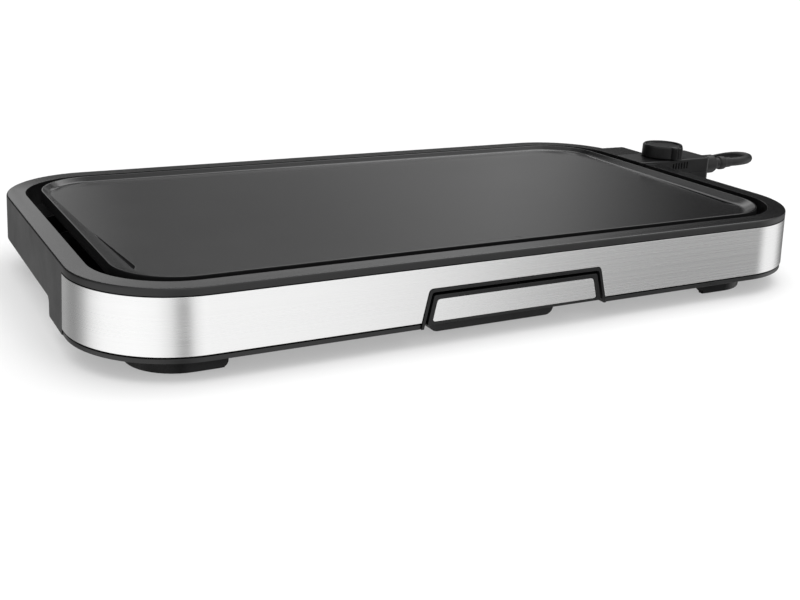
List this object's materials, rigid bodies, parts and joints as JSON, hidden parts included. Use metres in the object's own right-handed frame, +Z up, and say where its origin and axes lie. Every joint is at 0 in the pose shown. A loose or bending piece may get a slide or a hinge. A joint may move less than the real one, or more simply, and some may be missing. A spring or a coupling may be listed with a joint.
{
  "type": "electric griddle",
  "caption": "Long table-top electric griddle: dished non-stick plate in a black housing with a steel front, a drip drawer and a plug-in thermostat control with its mains cord.",
  "frame": {"origin": "middle of the whole object, with the thermostat control and without the free cord, at table height", "axes": "+X along the griddle towards the thermostat control, -Y towards the front with the drip drawer, +Z up"},
  "size_m": [0.7206, 0.4543, 0.071],
  "materials": {
    "frame_plastic": "satin black",
    "trim_plastic": "satin black",
    "base_plastic": "fine-grained black",
    "brushed_steel": "brushed along its length",
    "nonstick": "dark grey non-stick coating on cast aluminium",
    "sheet_metal": "plain sheet steel",
    "element_steel": "heat-tinted tube",
    "contact_brass": "plain brass",
    "ceramic": "unglazed white",
    "control_plastic": "satin black",
    "rubber": "matte black",
    "cord_rubber": "satin black"
  },
  "bodies": {
    "housing": {"frame": "frame_plastic", "steel_band": "brushed_steel", "drawer_surround": "trim_plastic", "base_pan": "base_plastic", "housing_screw_1": "sheet_metal", "housing_screw_2": "sheet_metal", "housing_screw_3": "sheet_metal", "housing_screw_4": "sheet_metal", "housing_screw_5": "sheet_metal", "housing_screw_6": "sheet_metal", "foot_front_left": "trim_plastic", "foot_pad_front_left": "rubber", "foot_front_right": "trim_plastic", "foot_pad_front_right": "rubber", "foot_back_left": "trim_plastic", "foot_pad_back_left": "rubber", "foot_back_right": "trim_plastic", "foot_pad_back_right": "rubber", "heating_element": "element_steel", "element_bracket_left": "sheet_metal", "element_bracket_right": "sheet_metal", "heat_reflector": "sheet_metal", "terminal_block": "ceramic", "contact_pin_1": "contact_brass", "contact_pin_2": "contact_brass"},
    "plate": {"griddle_plate": "nonstick", "drain_spout": "sheet_metal"},
    "drawer": {"drawer_front": "trim_plastic", "drawer_face_plate": "brushed_steel", "drawer_tray": "base_plastic"},
    "control": {"control_lower_shell": "control_plastic", "control_upper_shell": "control_plastic", "control_screw_1": "sheet_metal", "control_screw_2": "sheet_metal", "contact_sleeve_1": "contact_brass", "contact_sleeve_2": "contact_brass", "temperature_stem": "element_steel", "thermostat_switch": "ceramic", "strain_relief": "cord_rubber", "power_cord": "cord_rubber", "cord_coil": "cord_rubber", "coil_tie": "rubber", "plug_cord": "cord_rubber", "plug_body": "cord_rubber", "plug_pin_1": "sheet_metal", "plug_pin_2": "sheet_metal"},
    "knob": {"control_knob": "control_plastic", "knob_shaft": "sheet_metal"}
  },
  "joints": [
    {"name": "plate_lift_off", "type": "slide", "parent": "housing", "child": "plate", "axis": [0, 0, 1], "range_m": [0, 0.08]},
    {"name": "drawer_slide", "type": "slide", "parent": "housing", "child": "drawer", "axis": [0, -1, 0], "range_m": [0, 0.11]},
    {"name": "control_pull_out", "type": "slide", "parent": "housing", "child": "control", "axis": [1, 0, 0], "range_m": [0, 0.09]},
    {"name": "knob_turn", "type": "hinge", "parent": "control", "child": "knob", "pos_m": [0.249, 0.056, 0.065], "axis": [0, 0, 1], "range_deg": [0, 270]}
  ]
}
